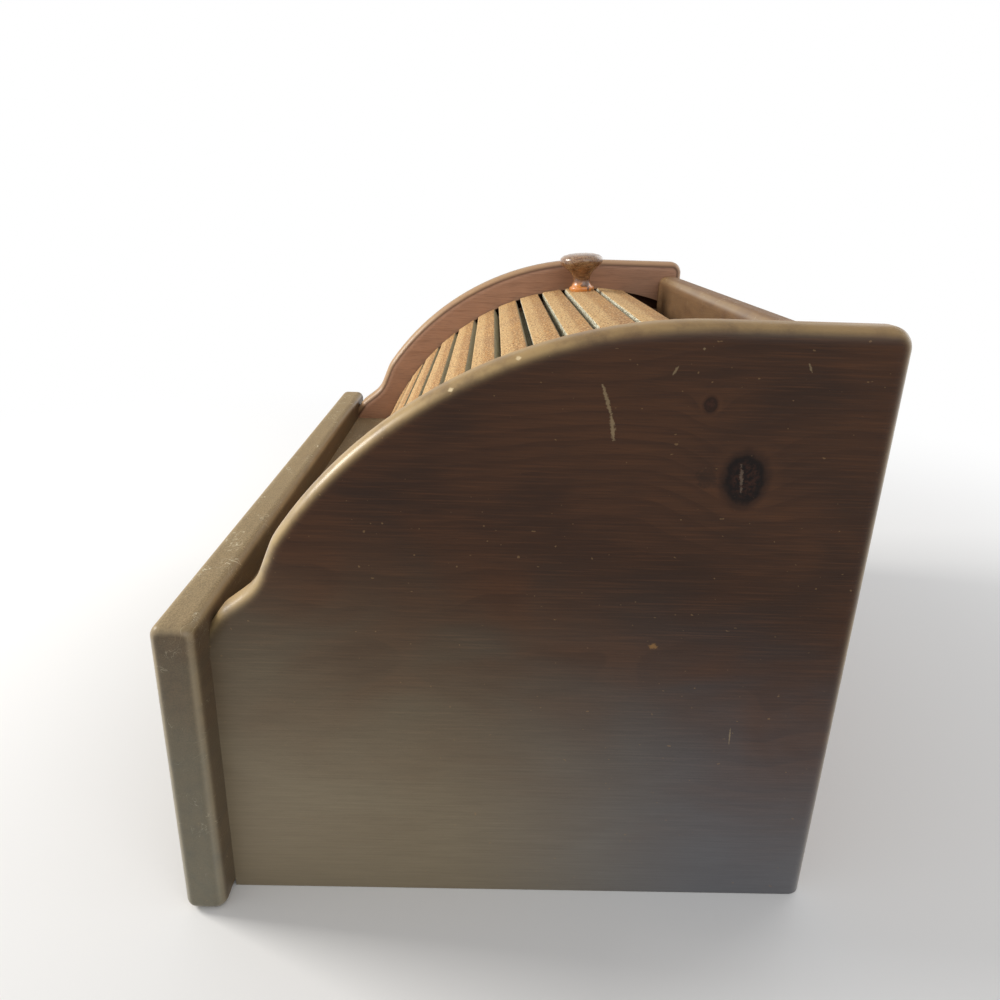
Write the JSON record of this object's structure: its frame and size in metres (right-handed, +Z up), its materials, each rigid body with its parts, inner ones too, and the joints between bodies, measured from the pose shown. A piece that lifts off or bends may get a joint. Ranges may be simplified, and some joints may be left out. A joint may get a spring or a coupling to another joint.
{
  "type": "countertop till",
  "caption": "Solid wood countertop till with ogee sides, a low front board with a trough behind it, and a slatted cover that slides in curved grooves by a turned knob.",
  "frame": {"origin": "centre of the base at the level the till stands on", "axes": "+Z up, the front board faces -Y, +X along the front board to the right as seen from the front"},
  "size_m": [0.42, 0.282, 0.2684],
  "materials": {
    "stained_pine": "walnut-stained pine under an old satin varnish, worn pale along the arrises",
    "slat_pine": "dry, dusty tan wood with a rough grain",
    "knob_wood": "glossy brown stain worn orange at the foot",
    "dowel_beech": "plain beech",
    "canvas": "dark woven cloth",
    "screw_brass": "dull brass"
  },
  "bodies": {
    "carcass": {"side_panel_left": "stained_pine", "side_panel_right": "stained_pine", "front_board": "stained_pine", "front_ledge": "stained_pine", "back_board": "stained_pine", "bottom_board": "stained_pine", "front_dowels": "dowel_beech", "back_dowels": "dowel_beech", "ledge_dowels": "dowel_beech"},
    "cover": {"slat_01": "slat_pine", "slat_02": "slat_pine", "slat_03": "slat_pine", "slat_04": "slat_pine", "slat_05": "slat_pine", "slat_06": "slat_pine", "slat_07": "slat_pine", "slat_08": "slat_pine", "slat_09": "slat_pine", "slat_10": "slat_pine", "slat_11": "slat_pine", "slat_12": "slat_pine", "knob_slat": "slat_pine", "closing_slat": "slat_pine", "tambour_canvas": "canvas", "knob": "knob_wood", "knob_screw": "screw_brass"}
  },
  "joints": [
    {"name": "cover_slide", "type": "hinge", "parent": "carcass", "child": "cover", "pos_m": [0, 0.07098, 0.06042], "axis": [1, 0, 0], "range_deg": [-8.9, 26]}
  ]
}
